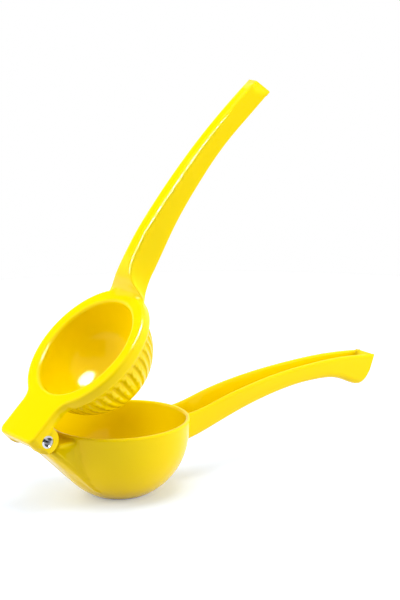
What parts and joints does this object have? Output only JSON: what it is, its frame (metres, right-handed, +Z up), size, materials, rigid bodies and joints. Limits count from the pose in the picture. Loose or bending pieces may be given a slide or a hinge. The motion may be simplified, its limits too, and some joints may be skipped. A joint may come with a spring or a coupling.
{
  "type": "citrus press",
  "caption": "Hand citrus press: a round bowl with drain holes and a ribbed plunger that swings down into it about a hinge pin, worked by long channel handles.",
  "frame": {"origin": "centre of the bowl's flat foot", "axes": "+X from the bowl towards the handle tips, +Y along the hinge pin, +Z up out of the bowl"},
  "size_m": [0.2245, 0.0752, 0.2066],
  "materials": {
    "enamel": "glossy lemon-yellow enamel over cast metal",
    "steel": "polished steel"
  },
  "bodies": {
    "lower": {"lower_cup": "enamel"},
    "upper": {"upper_press": "enamel", "hinge_pin": "steel"}
  },
  "joints": [
    {"name": "press_hinge", "type": "hinge", "parent": "lower", "child": "upper", "pos_m": [-0.0522, 0, 0.04037], "axis": [0, -1, 0], "range_deg": [-42.3, 65]}
  ]
}
